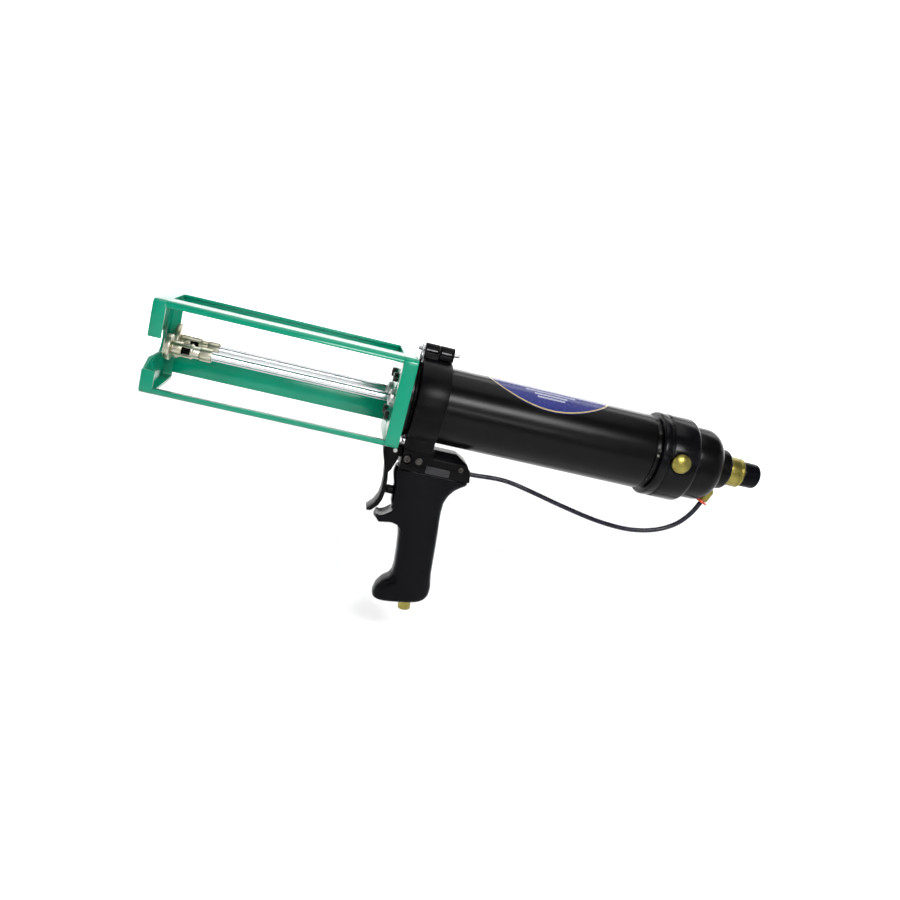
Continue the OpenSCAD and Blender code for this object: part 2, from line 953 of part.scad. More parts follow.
module regulator_housing() {
    r = regulator_d / 2;
    shoulder = r - hub_d / 2;
    color("black")
        difference() {
            turned(concat(
                [[cap_end - seat_l, 0], [cap_end - seat_l, seat_r],
                 [cap_end, seat_r], [cap_end, r - 0.8], [cap_end + 0.8, r]],
                arc(regulator_end - shoulder, r - shoulder, shoulder, 90, 0, 12),
                [[regulator_end, 0]]));
            rod_along_x(cap_end - seat_l - cut, regulator_end, 3);
            rod_along_x(cap_end + 5, regulator_end + cut, hub_spigot_r + hole_gap);
                // pocket of the hose elbow and its release collar, and its bore
            translate([0, elbow_y, elbow_z])
                rod_along_x(elbow_x - 13, regulator_end + cut,
                            elbow_stem_r + hole_gap);
            at_port() {
                sphere(r = elbow_r + 0.5);
                cylinder(h = port_l + 4, r = elbow_r + 0.5);
                translate([0, 0, port_l - 1])
                    cylinder(h = collar_t + collar_travel + 4,
                             r = collar_r + 0.5);
            }
        }
}

module regulator_hub() {
    r = hub_d / 2;
    color("black")
        difference() {
            turned(concat(
                [[regulator_end - hub_spigot_l, 0],
                 [regulator_end - hub_spigot_l, hub_spigot_r],
                 [regulator_end, hub_spigot_r], [regulator_end, r - 0.6],
                 [regulator_end + 0.6, r]],
                arc(hub_end - 5, r - 5, 5, 90, 0, 6),
                [[hub_end, 0]]));
            rod_along_x(regulator_end - hub_spigot_l - cut, hub_end - 4,
                        spring_bore_r);
            rod_along_x(hub_end - 5, hub_end + cut, adjuster_r + 0.3);
        }
}

module bonnet_nut() {
    r = bonnet_d / 2;
    color("goldenrod")
        difference() {
            turned([
                [hub_end, 0], [hub_end, r - 1], [hub_end + 1, r],
                [bonnet_end - 5, r], [bonnet_end - 4.4, r - 1],
                [bonnet_end - 3.6, r - 1], [bonnet_end - 3, r],
                [bonnet_end - 1, r], [bonnet_end, r - 1], [bonnet_end, 0]
            ]);
            rod_along_x(hub_end - cut, bonnet_end + cut, adjuster_r + run_gap);
        }
}

module regulator_knob() {
    r = knob_d / 2;
    x0 = bonnet_end + knob_gap;
    color("black")
        difference() {
            turned(concat(
                [[x0, 0], [x0, r - 0.8], [x0 + 0.8, r]],
                arc(knob_end - 4, r - 4, 4, 90, 0, 8),
                [[knob_end, 0]]));
            rod_along_x(x0 - cut, knob_end - 6, adjuster_r + hole_gap);
        }
}

module regulator_screw() {
    color("silver")
        rod_along_x(plate_x - 4, knob_end - 7, adjuster_r);
}

module spring_plate() {
    color("silver")
        tube_along_x(plate_x, plate_x + 2.3, spring_bore_r - 0.3,
                     adjuster_r + run_gap);
}

module regulator_spring() {
    wire = 2;
    color("silver")
        spring_rings(cap_end + 5.2, plate_x - 0.1, 6.2, wire, 6);
}

module relief_button() {
    r = button_d / 2;
    dome = 4;
    dome_r = (r * r + dome * dome) / (2 * dome);
    base = button_seat + button_travel + 0.4;
    top = base + button_skirt;
    half_angle = asin(r / dome_r);
    color("goldenrod")
        translate([button_x, 0, button_z])
            rotate([90, 0, 0])
                rotate_extrude()
                    polygon(concat(
                        [[0, button_stem_end], [button_stem_r, button_stem_end],
                         [button_stem_r, base], [r, base]],
                        [for (i = [0:8])
                            [dome_r * sin(half_angle * (1 - i / 8)),
                             top - dome_r + dome
                             + dome_r * cos(half_angle * (1 - i / 8))]]));
}

module relief_spring() {
    color("silver")
        translate([button_x, 0, button_z])
            rotate([0, 0, -90])
                spring_rings(button_seat + 0.05,
                             button_seat + button_travel + 0.35, 5.5, 0.8, 3);
}

// ---------- hose and its fittings ----------

// The elbow's port frame: origin at the bend, +Z out of the port
module at_port() {
    translate([elbow_x, elbow_y, elbow_z])
        rotate([0, 180 + port_tilt, 0])
            children();
}

module hose_elbow() {
    color("goldenrod")
        difference() {
            union() {
                at_port() {
                    sphere(r = elbow_r);
                    cylinder(h = port_l, r = elbow_r);
                }
                translate([0, elbow_y, elbow_z])
                    rod_along_x(elbow_x - 12, elbow_x, elbow_stem_r);
            }
            at_port()
                translate([0, 0, port_l - 6])
                    cylinder(h = 6 + cut, r = hose_d / 2 + sleeve_wall + run_gap);
            at_port()
                translate([0, 0, port_l - 9])
                    cylinder(h = 9, r = hose_d / 2 - 0.8);
        }
}

module release_collar() {
    color("orangered")
        at_port()
            difference() {
                union() {
                    translate([0, 0, port_l - 4])
                        cylinder(h = 4 + collar_travel + cut / 4,
                                 r = hose_d / 2 + sleeve_wall);
                    translate([0, 0, port_l + collar_travel + 0.2])
                        cylinder(h = collar_t, r = collar_r);
                }
                translate([0, 0, port_l - 5])
                    cylinder(h = 20, r = hose_d / 2 + 0.3);
            }
}

module hose_fitting() {
    color("black")
        translate([0, fitting_y, fitting_z])
            difference() {
                rod_along_x(block_end - fitting_l, block_end, fitting_r);
                rod_along_x(block_end - fitting_l - cut, block_end + cut,
                            hose_d / 2 + 0.1);
            }
}

// Length of a vector's direction, and a tube swept along points
function unit(v) = v / norm(v);
function tangent(path, i) =
    unit(path[min(i + 1, len(path) - 1)] - path[max(i - 1, 0)]);
// A point on the smooth curve through four route points
function smooth(a, b, c, d, t) =
    0.5 * ((2 * b) + (c - a) * t + (2 * a - 5 * b + 4 * c - d) * t * t
           + (3 * b - a - 3 * c + d) * t * t * t);
function smooth_path(route, steps) = [
    for (i = [0:len(route) - 2], k = [0:steps - 1])
        smooth(route[max(i - 1, 0)], route[i], route[i + 1],
               route[min(i + 2, len(route) - 1)], k / steps),
    route[len(route) - 1]
];

module hose() {
    sides = 10;
    path = smooth_path(hose_route, 2);
    rings = len(path);
    points = [
        for (i = [0:rings - 1])
            let (t = tangent(path, i),
                 u = unit(cross(t, [0, 1, 0])),
                 v = cross(t, u))
            for (k = [0:sides - 1])
                path[i] + hose_d / 2 * (u * cos(k * 360 / sides)
                                        + v * sin(k * 360 / sides))
    ];
    walls = [
        for (i = [0:rings - 2], k = [0:sides - 1])
            let (a = i * sides + k,
                 b = i * sides + (k + 1) % sides)
            [a, b, b + sides, a + sides]
    ];
    start = [for (k = [sides - 1:-1:0]) k];
    finish = [for (k = [0:sides - 1]) (rings - 1) * sides + k];
    color("midnightblue")
        polyhedron(points = points, faces = concat([start], walls, [finish]));
}

// ---------- valve block ----------

module valve_block() {
    back = block_end;
    color("black")
        difference() {
            union() {
                intersection() {
                    side_slab(-block_half, block_half)
                        polygon([
                            [block_x, -block_base], [block_x, -block_top],
                            [back - 18, -block_top], [back - 6.5, -block_top - 6.5],
                            [back - 1.5, -block_top - 15], [back, -block_base]
                        ]);
                    union() {
                        translate([block_x, -block_half, -block_base])
                            cube([clamp_w + 1, block_w, block_base - block_top]);
                        slab(block_x, back)
                            polygon([
                                [-block_half, -block_base],
                                [-block_half, -block_top - bevel],
                                [-block_half + bevel, -block_top],
                                [block_half - bevel, -block_top],
                                [block_half, -block_top - bevel],
                                [block_half, -block_base]
                            ]);
                    }
                }
                // nose that carries the trigger
                side_slab(-nose_half, nose_half) {
                    translate([pivot_x, pivot_z])
                        circle(r = nose_r);
                    translate([pivot_x, pivot_z - nose_r])
                        square([block_x - pivot_x + 1, 2 * nose_r]);
                }
            }
            translate([pivot_x, 0, pivot_z])
                rod_along_y(-nose_half - cut, nose_half + cut,
                            trigger_pin_d / 2 + hole_gap);
            translate([0, fitting_y, fitting_z])
                rod_along_x(back - fitting_l, back + cut, fitting_r + hole_gap);
            for (side = [-1, 1])
                translate([clamp_mid, side * clamp_screw_y, 0]) {
                    translate([0, 0, -clamp_head_z - 1])
                        cylinder(h = block_base, r = screw_d / 2 + 0.25);
                    translate([0, 0, -block_base - cut])
                        cylinder(h = block_base - clamp_head_z + cut, r = 4.5);
                }
            translate([socket_screw_x, 0, socket_screw_z]) {
                rod_along_y(-block_half - cut, -block_half + 3, 5);
                rod_along_y(-block_half, -block_half + 11, 1.5 + hole_gap);
            }
            translate([cheese_screw_x, 0, cheese_screw_z])
                rod_along_y(-block_half - cut, -block_half + 10, 1.5 + hole_gap);
            translate([plug_x, 0, plug_z])
                rod_along_y(-block_half - cut, -block_half + 5, 2.5 + hole_gap);
        }
}

module block_screws() {
    color("silver") {
        translate([socket_screw_x, 0, socket_screw_z])
            difference() {
                union() {
                    rod_along_y(-block_half + 0.4, -block_half + 3, 3.6);
                    rod_along_y(-block_half + 3, -block_half + 10, 1.5);
                }
                rod_along_y(-block_half - cut, -block_half + 2.2, 1.6, $fn = 6);
            }
        translate([cheese_screw_x, 0, cheese_screw_z])
            difference() {
                union() {
                    rod_along_y(-block_half - 1.6, -block_half, 3.5);
                    rod_along_y(-block_half, -block_half + 9, 1.5);
                }
                translate([-4, -block_half - 1.6 - cut, -0.45])
                    cube([8, cut + 0.9, 0.9]);
            }
    }
}

module nameplate() {
    color("dimgray")
        translate([nameplate_x, -block_half - nameplate_t, -block_base + 0.8])
            cube([nameplate_l, nameplate_t, nameplate_h]);
}

module gallery_plug() {
    color("dimgray")
        translate([plug_x, 0, plug_z])
            difference() {
                rod_along_y(-block_half + 0.3, -block_half + 4.8, 2.5);
                rod_along_y(-block_half - cut, -block_half + 2.5, 1.2, $fn = 6);
            }
}

// ---------- grip ----------

// A thin level slice of the grip, from x0 to x1 at height z
module grip_slice(z, x0, x1, t, r) {
    translate([(x0 + x1) / 2, 0, z])
        linear_extrude(height = 0.5)
            round_rect(x1 - x0, t, r);
}

module grip() {
    f = grip_front;
    t = grip_t;
    foot = -grip_base;
    neck = -block_base - 16;
    waist = -block_base - 32;
    stem = -block_base - 66;
    heel = foot + 26;
    toe = foot + 15;
    color("black")
        difference() {
            union() {
                // top plate under the valve block
                translate([0, 0, -block_base - 4.5])
                    linear_extrude(height = 4.5)
                        translate([(f + block_end) / 2, 0])
                            round_rect(block_end - f, t, 5);
                hull() {
                    grip_slice(-block_base - 5, f, block_end - 2, t, 6);
                    grip_slice(neck, f, f + 62, t, 11);
                }
                hull() {
                    grip_slice(neck, f, f + 62, t, 11);
                    grip_slice(waist, f + 3.4, f + 56.6, t, 13);
                }
                hull() {
                    grip_slice(waist, f + 3.4, f + 56.6, t, 13);
                    grip_slice(stem, f + 19.4, f + 59.4, t, 14);
                }
                hull() {
                    grip_slice(stem, f + 19.4, f + 59.4, t, 14);
                    grip_slice(heel, f + 22.4, f + 64.4, t, 14);
                }
                hull() {
                    grip_slice(heel, f + 22.4, f + 64.4, t, 14);
                    grip_slice(toe, f + 10.5, f + 66.2, t, 14);
                }
                hull() {
                    grip_slice(toe, f + 10.5, f + 66.2, t, 14);
                    grip_slice(foot - 3, f + 9, f + 60, t - 3, 12);
                }
                // finger horn under the trigger
                translate([f, 0, -block_base])
                    side_slab(-11, 11)
                        polygon([
                            [-8.8, -54], [-7.4, -53.2], [-3, -52.5], [1.6, -49],
                            [5, -42], [12, -38], [26, -44], [26, -66],
                            [17.5, -63], [9, -60], [-4, -61], [-7.6, -59]
                        ]);
            }
            // raked base
            translate([inlet_x, 0, foot])
                rotate([0, -grip_rake, 0])
                    translate([-60, -40, -40])
                        cube([120, 80, 40]);
            // valve bore
            translate([0, 0, -plunger_z])
                rod_along_x(f - 20, f + valve_depth, plunger_d / 2 + run_gap);
            at_inlet() {
                translate([0, 0, -inlet_in])
                    cylinder(h = inlet_in + 20, r = inlet_root_r + hole_gap);
                translate([0, 0, -112])
                    cylinder(h = 112, r = inlet_bore / 2);
            }
        }
}

// The inlet's frame: origin on the grip's base, +Z out of the grip
module at_inlet() {
    translate([inlet_x, 0, -grip_base])
        rotate([0, 180 - grip_rake, 0])
            children();
}

module inlet_nipple() {
    r = inlet_d / 2;
    color("goldenrod")
        at_inlet()
            difference() {
                union() {
                    translate([0, 0, -inlet_in])
                        cylinder(h = inlet_in, r = inlet_root_r);
                    cylinder(h = inlet_out, r = r);
                }
                translate([0, 0, -inlet_in - cut])
                    cylinder(h = inlet_in + inlet_out + 2 * cut,
                             r = inlet_bore / 2);
            }
}

// ---------- trigger and valve ----------

module trigger() {
    color("dimgray")
        translate([pivot_x, 0, pivot_z])
            difference() {
                union() {
                    // finger face, hooked forward at its lower end
                    side_slab(-trigger_half, trigger_half)
                        polygon([
                            [-11.7, 5.3], [-11.4, -3.2], [-8.9, -11.2],
                            [-6.3, -19.2], [-4.4, -31.2], [-3.8, -43.2],
                            [-5, -51.2], [-8.2, -58.2], [-12.4, -63],
                            [-14.4, -65], [-13.6, -66.4], [-9.4, -65.8],
                            [-3.4, -59.2], [-0.7, -52.2], [0.4, -43.2],
                            [-0.3, -31.2], [-2.3, -19.2], [-4.9, -11.2],
                            [-7.8, -1.2], [-8, 5.3]
                        ]);
                    // cheeks on both sides of the block's nose
                    for (side = [-1, 1])
                        side_slab(side > 0 ? trigger_half - cheek_t : -trigger_half,
                                  side > 0 ? trigger_half : -trigger_half + cheek_t)
                            polygon([
                                [-10, 5.3], [4, 6], [5, 0], [4.6, -8.2],
                                [0.6, -20.2], [-2.3, -24.2], [-5, -19.2],
                                [-8, -7.2]
                            ]);
                }
                rod_along_y(-trigger_half - cut, trigger_half + cut,
                            trigger_pin_d / 2 + run_gap);
            }
}

module trigger_pin() {
    color("silver")
        translate([pivot_x, 0, pivot_z])
            rod_along_y(-trigger_half - 0.6, trigger_half + 0.6,
                        trigger_pin_d / 2);
}

module valve_plunger() {
    x0 = plunger_x;
    r = plunger_d / 2;
    color("silver")
        translate([0, 0, -plunger_z])
            turned([
                [x0, 0], [x0, r - 1], [x0 + 1, r],
                [x0 + 14, r], [x0 + 14, r - 1.5], [x0 + 15.8, r - 1.5],
                [x0 + 15.8, r], [x0 + 26, r], [x0 + 26, r - 1.5],
                [x0 + 27.8, r - 1.5], [x0 + 27.8, r],
                [x0 + stem_l, r], [x0 + stem_l, 0]
            ]);
}

module valve_seals() {
    color("black")
        translate([0, 0, -plunger_z])
            for (x = [14.9, 26.9])
                o_ring(plunger_x + x, plunger_d / 2 - 0.74, 1.46);
}

module valve_spring() {
    color("silver")
        translate([0, 0, -plunger_z])
            spring_rings(plunger_x + stem_l + 0.05, grip_front + valve_depth - 0.05,
                         3, 1, 5);
}

// ---------- choice of sub-part ----------

front_plate();
rear_plate();
top_near_rail();
top_far_rail();
bottom_near_rail();
bottom_far_rail();
carriage_screws();
front_head();
barrel_o_rings();
rod_glands();
rod_bushes();
rod_seals();
bumper_ring();
barrel();
label();
piston_front_plate();
piston_cup();
piston_back_plate();
near_rod();
far_rod();
rod_nuts();
near_disc();
far_disc();
near_coupler();
far_coupler();
near_lock_sleeve();
far_lock_sleeve();
near_sleeve_spring();
far_sleeve_spring();
clamp_near();
clamp_far();
clamp_pin();
clamp_screws();
foot_screws();
eye_tab();
end_cap();
regulator_housing();
regulator_hub();
bonnet_nut();
regulator_knob();
regulator_screw();
regulator_spring();
spring_plate();
relief_button();
relief_spring();
hose_elbow();
release_collar();
hose_fitting();
hose();
valve_block();
block_screws();
nameplate();
gallery_plug();
grip();
trigger();
trigger_pin();
valve_plunger();
valve_seals();
valve_spring();
inlet_nipple();
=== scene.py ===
import json
import math

import bmesh
import bpy
from mathutils import Matrix, Vector


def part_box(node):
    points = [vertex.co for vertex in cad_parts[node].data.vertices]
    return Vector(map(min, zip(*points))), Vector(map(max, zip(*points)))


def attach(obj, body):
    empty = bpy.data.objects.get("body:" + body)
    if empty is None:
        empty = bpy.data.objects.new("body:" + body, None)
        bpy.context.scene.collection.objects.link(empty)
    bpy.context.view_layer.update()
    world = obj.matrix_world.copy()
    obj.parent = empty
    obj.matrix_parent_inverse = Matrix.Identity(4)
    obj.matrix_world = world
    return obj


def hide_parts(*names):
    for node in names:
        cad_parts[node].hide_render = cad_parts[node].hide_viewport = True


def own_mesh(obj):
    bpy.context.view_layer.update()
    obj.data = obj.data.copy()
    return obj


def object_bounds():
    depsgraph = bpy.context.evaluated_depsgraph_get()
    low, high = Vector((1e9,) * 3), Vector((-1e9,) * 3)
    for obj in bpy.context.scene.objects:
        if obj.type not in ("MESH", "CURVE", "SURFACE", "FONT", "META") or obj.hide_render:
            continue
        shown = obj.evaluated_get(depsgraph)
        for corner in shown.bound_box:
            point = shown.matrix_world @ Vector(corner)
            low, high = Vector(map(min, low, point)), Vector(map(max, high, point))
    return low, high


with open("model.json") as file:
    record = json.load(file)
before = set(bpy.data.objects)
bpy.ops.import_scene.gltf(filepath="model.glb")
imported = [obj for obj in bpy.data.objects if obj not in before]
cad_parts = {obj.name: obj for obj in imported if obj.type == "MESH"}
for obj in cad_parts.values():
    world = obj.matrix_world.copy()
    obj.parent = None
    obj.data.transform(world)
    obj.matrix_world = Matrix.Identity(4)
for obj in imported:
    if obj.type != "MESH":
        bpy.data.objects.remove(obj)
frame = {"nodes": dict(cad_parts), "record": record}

cad_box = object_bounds()

# ---- Camera --------------------------------------------------------------
# Stands in front of the open loading side, a little above the barrel, and
# looks down at it with the gun's rear tipped towards the lower right.
camera_place = Vector((0.1537, -0.7756, 0.1370))
camera_yaw = math.radians(-6.86)
camera_pitch = math.radians(-13.72)
camera_roll = math.radians(14.14)
camera_lens = 32.31
camera_shift = 0.0556

level_right = Vector((math.cos(camera_yaw), math.sin(camera_yaw), 0))
level_ahead = Vector((-math.sin(camera_yaw), math.cos(camera_yaw), 0))
straight_up = Vector((0, 0, 1))
ahead = math.cos(camera_pitch) * level_ahead + math.sin(camera_pitch) * straight_up
above = math.cos(camera_pitch) * straight_up - math.sin(camera_pitch) * level_ahead
view_right = math.cos(camera_roll) * level_right + math.sin(camera_roll) * above
view_up = math.cos(camera_roll) * above - math.sin(camera_roll) * level_right

camera_data = bpy.data.cameras.new("camera")
camera_data.lens = camera_lens
camera_data.sensor_width = 36
camera_data.shift_x = camera_shift
camera = bpy.data.objects.new("camera", camera_data)
turn = Matrix((view_right, view_up, -ahead)).transposed().to_4x4()
camera.matrix_world = Matrix.Translation(camera_place) @ turn
bpy.context.collection.objects.link(camera)
bpy.context.scene.camera = camera


# ---- Air hose ------------------------------------------------------------
# Navy polyurethane tube that carries air from the valve block to the
# regulator. It is pushed into a fitting at one end and an elbow at the other.
class Socket:
    """A shader socket that takes part in ordinary sums."""

    def __init__(self, paint, output):
        self.paint = paint
        self.output = output

    def maths(self, operation, *values):
        return self.paint.node("Math", {"operation": operation}, *values)

    def __add__(self, other):
        return self.maths("ADD", self, other)

    def __radd__(self, other):
        return self.maths("ADD", other, self)

    def __sub__(self, other):
        return self.maths("SUBTRACT", self, other)

    def __rsub__(self, other):
        return self.maths("SUBTRACT", other, self)

    def __mul__(self, other):
        return self.maths("MULTIPLY", self, other)

    def __rmul__(self, other):
        return self.maths("MULTIPLY", other, self)

    def __truediv__(self, other):
        return self.maths("DIVIDE", self, other)

    def __rtruediv__(self, other):
        return self.maths("DIVIDE", other, self)

    def __pow__(self, other):
        return self.maths("POWER", self, other)

    def __abs__(self):
        return self.maths("ABSOLUTE", self)

    def __gt__(self, other):
        return self.maths("GREATER_THAN", self, other)

    def __lt__(self, other):
        return self.maths("LESS_THAN", self, other)


class Paint:
    """A material under construction: its shader, and the nodes that feed it."""

    def __init__(self, name, **constants):
        self.material = bpy.data.materials.new(name)
        self.material.use_nodes = True
        self.tree = self.material.node_tree
        self.shader = self.tree.nodes["Principled BSDF"]
        for key, value in constants.items():
            self.feed(key.replace("_", " ").title().replace("Ior", "IOR"), value)

    def link(self, value, socket):
        if isinstance(value, Socket):
            self.tree.links.new(value.output, socket)
        elif hasattr(socket.default_value, "__len__"):
            socket.default_value = [*value, 1][:len(socket.default_value)]
        else:
            socket.default_value = value

    def feed(self, name, value):
        self.link(value, self.shader.inputs[name])

    def node(self, kind, settings, *values, output=0, **named):
        made = self.tree.nodes.new("ShaderNode" + kind)
        for key, value in settings.items():
            if key == "stops":
                ramp = made.color_ramp
                while len(ramp.elements) < len(value):
                    ramp.elements.new(0.5)
                for element, (place, colour) in zip(ramp.elements, value):
                    element.position = place
                    element.color = [*colour, 1][:4]
            else:
                setattr(made, key, value)
        for index, value in enumerate(values):
            self.link(value, made.inputs[index])
        for key, value in named.items():
            self.link(value, made.inputs[key.replace("_", " ").title()])
        return Socket(self, made.outputs[output])

    def place(self):
        return self.node("TexCoord", {}, output="Object")

    def axes(self):
        split = self.node("SeparateXYZ", {}, self.place())
        outputs = split.output.node.outputs
        return [Socket(self, outputs[k]) for k in range(3)]

    def noise(self, scale, detail=3, stretch=(1, 1, 1)):
        mapped = self.node("Mapping", {}, self.place(), Scale=stretch)
        return self.node("TexNoise", {}, Vector=mapped, Scale=scale, Detail=detail)

    def ramp(self, factor, *stops):
        return self.node("ValToRGB", {"stops": stops}, factor)

    def blend(self, factor, first, second):
        mixed = self.node("Mix", {"data_type": "RGBA"}, factor)
        made = mixed.output.node
        self.link(first, made.inputs[6])
        self.link(second, made.inputs[7])
        return Socket(self, made.outputs[2])

    def spread(self, factor, low, high):
        return factor * (high - low) + low

    def soft_edges(self, radius):
        return self.node("Bevel", {"samples": 6}, radius)

    def edge_wear(self, radius):
        """1 on sharp edges and 0 on flats, by how far the rounded normal turns."""
        rounded = self.soft_edges(radius)
        flat = self.node("NewGeometry", {}, output="Normal")
        match = self.node("VectorMath", {"operation": "DOT_PRODUCT"}, rounded, flat, output="Value")
        return self.node("MapRange", {}, match, 0.995, 0.8, 0.0, 1.0)

    def bump(self, height, strength, distance, radius=0.0):
        values = {"Strength": strength, "Distance": distance, "Height": height}
        if radius:
            values["Normal"] = self.soft_edges(radius)
        self.feed("Normal", self.node("Bump", {}, **values))


body_of = {n: b for b, ns in frame["record"]["behaviour"]["bodies"].items() for n in ns}


def belongs(piece, paint, *nodes):
    """The piece takes its finish, and stands for these nodes on their body."""
    piece.data.materials.clear()
    piece.data.materials.append(paint.material)
    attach(piece, body_of[nodes[0]])
    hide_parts(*nodes)
    return piece


hose_diameter = 0.0048
hose_route = [
    (0.3125, -0.003, -0.062), (0.32, -0.003, -0.062), (0.328, -0.003, -0.0618),
    (0.336, -0.003, -0.0612), (0.345, -0.004, -0.0604), (0.356, -0.004, -0.0604),
    (0.368, -0.004, -0.0618), (0.381, -0.005, -0.0642), (0.395, -0.005, -0.0672),
    (0.409, -0.005, -0.0704), (0.423, -0.005, -0.0734), (0.437, -0.005, -0.0762),
    (0.451, -0.005, -0.0788), (0.465, -0.005, -0.0808), (0.479, -0.005, -0.082),
    (0.493, -0.0054, -0.0822), (0.506, -0.006, -0.0808), (0.518, -0.0066, -0.078),
    (0.5284, -0.0072, -0.074), (0.5368, -0.0078, -0.0692), (0.5436, -0.0084, -0.0638),
    (0.549, -0.0088, -0.0576), (0.5532, -0.009, -0.0514), (0.5564, -0.009, -0.0454),
    (0.5586, -0.009, -0.04), (0.5601, -0.009, -0.036), (0.5616, -0.009, -0.032),
    (0.563, -0.009, -0.0284),
]
hose_curve = bpy.data.curves.new("air_hose", "CURVE")
hose_curve.dimensions = "3D"
hose_curve.bevel_depth = hose_diameter / 2
hose_curve.bevel_resolution = 8
hose_curve.resolution_u = 8
hose_curve.use_fill_caps = True
hose_line = hose_curve.splines.new("BEZIER")
hose_line.bezier_points.add(len(hose_route) - 1)
for knot, spot in zip(hose_line.bezier_points, hose_route):
    knot.co = spot
    knot.handle_left_type = knot.handle_right_type = "AUTO"
hose = bpy.data.objects.new("air_hose", hose_curve)
bpy.context.collection.objects.link(hose)

navy = Paint("hose_navy", Specular_IOR_Level=0.3)
cloud = navy.noise(90, 4)
navy.feed("Base Color", navy.ramp(cloud, (0.3, (0.0035, 0.0035, 0.009)), (0.75, (0.008, 0.008, 0.020))))
navy.feed("Roughness", navy.spread(cloud, 0.2, 0.34))
navy.bump(navy.noise(700, 2), 0.12, 0.0002)
belongs(hose, navy, "hose")


# ---- Carriage ------------------------------------------------------------
# Pressed steel: a slotted front plate and a rear plate with folded flanges,
# joined by four welded rails and powder coated green after welding.
def shine(mesh, sharpest=35):
    """Smooth faces, with hard edges kept where the faces turn sharply."""
    for face in mesh.faces:
        face.smooth = True
    for edge in mesh.edges:
        turned_by = edge.calc_face_angle(0) if len(edge.link_faces) == 2 else math.pi
        edge.smooth = turned_by < math.radians(sharpest)


def piece(name, mesh, paint, *nodes, sharpest=35):
    """Makes an object of a finished bmesh, on the body of the nodes it stands for."""
    bmesh.ops.remove_doubles(mesh, verts=mesh.verts, dist=1e-6)
    bmesh.ops.recalc_face_normals(mesh, faces=mesh.faces)
    shine(mesh, sharpest)
    data = bpy.data.meshes.new(name)
    mesh.to_mesh(data)
    mesh.free()
    made = bpy.data.objects.new(name, data)
    bpy.context.collection.objects.link(made)
    return belongs(made, paint, *nodes)


green = Paint("carriage_green", Specular_IOR_Level=0.4)
drift = green.noise(22, 3)
speck = green.noise(420, 2)
worn = green.edge_wear(0.0009) * (green.noise(60, 4) > 0.56)
shade = green.ramp(drift, (0.3, (0.0, 0.215, 0.120)), (0.7, (0.001, 0.255, 0.148)))
green.feed("Base Color", green.blend(worn, shade, (0.05, 0.28, 0.18)))
green.feed("Roughness", green.spread(drift, 0.14, 0.24))
green.bump(green.noise(900, 2) + speck * 0.6, 0.06, 0.0003, radius=0.0006)


def dressed(node, paint, width):
    """A copy of a CAD node with its triangles merged and its sharp edges rounded over."""
    flat_turn, edge_turn = math.radians(0.4), math.radians(28)
    mesh = bmesh.new()
    mesh.from_mesh(frame["nodes"][node].data)
    bmesh.ops.remove_doubles(mesh, verts=mesh.verts, dist=2e-6)
    bmesh.ops.dissolve_limit(mesh, angle_limit=flat_turn, verts=mesh.verts, edges=mesh.edges)
    sharp = [e for e in mesh.edges if len(e.link_faces) == 2 and e.calc_face_angle(0) > edge_turn]
    bmesh.ops.bevel(mesh, geom=sharp, offset=width, offset_type="OFFSET", segments=2, profile=0.5,
                    affect="EDGES", material=-1, clamp_overlap=False, miter_outer="SHARP")
    return piece(node + "_shell", mesh, paint, node, sharpest=40)


for node in ("front_plate", "rear_plate", "top_near_rail", "top_far_rail",
             "bottom_near_rail", "bottom_far_rail"):
    dressed(node, green, 0.0006)

# ---- Carriage screws -----------------------------------------------------
# Four black oxide socket-head M5 screws hold the rear plate to the front head;
# the clamp's and block's screws and the gallery plug have the same finish.
black_steel = Paint("black_oxide_steel", Metallic=0.75, Roughness=0.38)
soot = black_steel.noise(160, 4)
black_steel.feed("Base Color", black_steel.ramp(soot, (0.3, (0.018, 0.017, 0.016)),
                                                (0.7, (0.07, 0.066, 0.06))))
black_steel.feed("Roughness", black_steel.spread(soot, 0.3, 0.5))
black_steel.bump(black_steel.noise(1200, 2), 0.15, 0.0002, radius=0.0004)
for node in ("carriage_screws", "clamp_screws", "gallery_plug", "block_screws"):
    dressed(node, black_steel, 0.00035)


# ---- Front head ----------------------------------------------------------
# Turned aluminium plug, anodised black, spigoted into the barrel's mouth.
def turned(outline, steps):
    """Spins an outline of (x, radius) points round the barrel's axis into a closed body."""
    mesh = bmesh.new()
    verts = [mesh.verts.new((x, 0, r)) for x, r in outline]
    edges = [mesh.edges.new((a, b)) for a, b in zip(verts, verts[1:])]
    if outline[0][1] > 0 and outline[-1][1] > 0:
        edges.append(mesh.edges.new((verts[-1], verts[0])))
    bmesh.ops.spin(mesh, geom=verts + edges, cent=(0, 0, 0), axis=(1, 0, 0),
                   angle=math.tau, steps=steps, use_merge=True)
    bmesh.ops.remove_doubles(mesh, verts=mesh.verts, dist=1e-6)
    bmesh.ops.recalc_face_normals(mesh, faces=mesh.faces)
    return mesh


anodise = Paint("black_anodise", Specular_IOR_Level=0.13)
haze = anodise.noise(26, 4, stretch=(0.25, 1, 1))
smear = anodise.noise(220, 3, stretch=(1, 0.15, 0.15))
anodise.feed("Base Color", anodise.ramp(haze, (0.3, (0.0008, 0.0008, 0.0010)),
                                        (0.75, (0.0024, 0.0024, 0.0023))))
anodise.feed("Roughness", anodise.spread(haze, 0.16, 0.27) + smear * 0.05)
anodise.bump(smear + anodise.noise(1500, 2) * 0.4, 0.05, 0.0002, radius=0.0006)
for node in ("front_head", "regulator_hub"):
    dressed(node, anodise, 0.0006)

